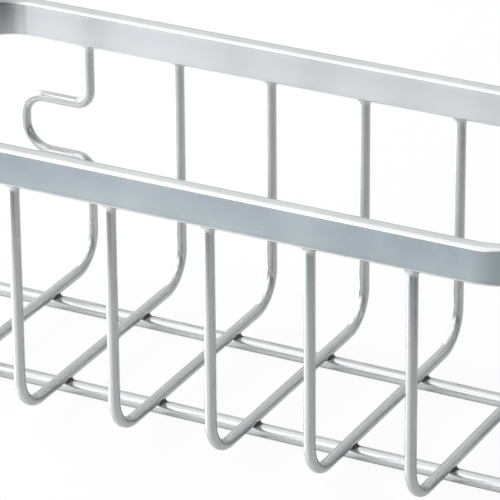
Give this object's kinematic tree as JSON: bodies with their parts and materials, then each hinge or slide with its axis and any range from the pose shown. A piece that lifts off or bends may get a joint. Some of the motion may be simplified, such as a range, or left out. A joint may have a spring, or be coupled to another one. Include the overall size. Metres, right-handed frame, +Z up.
{
  "type": "sink caddy",
  "caption": "Open wire basket with a flat bar rim that keeps sponges and brushes at a sink, standing or held by suction cups.",
  "frame": {"origin": "middle of the footprint, on the surface that the base wires stand on", "axes": "+X along the caddy to its right end, +Y from the front to the back, where the two notches are, +Z up"},
  "size_m": [0.18, 0.0804, 0.069],
  "materials": {
    "bar": "satin electropolished stainless steel",
    "wire": "electropolished stainless steel"
  },
  "bodies": {
    "root": {"rim_band": "bar", "notched_wire_left": "wire", "cross_wire_1": "wire", "cross_wire_2": "wire", "cross_wire_3": "wire", "cross_wire_4": "wire", "notched_wire_right": "wire", "base_wire_front": "wire", "base_wire_back": "wire"}
  },
  "joints": []
}
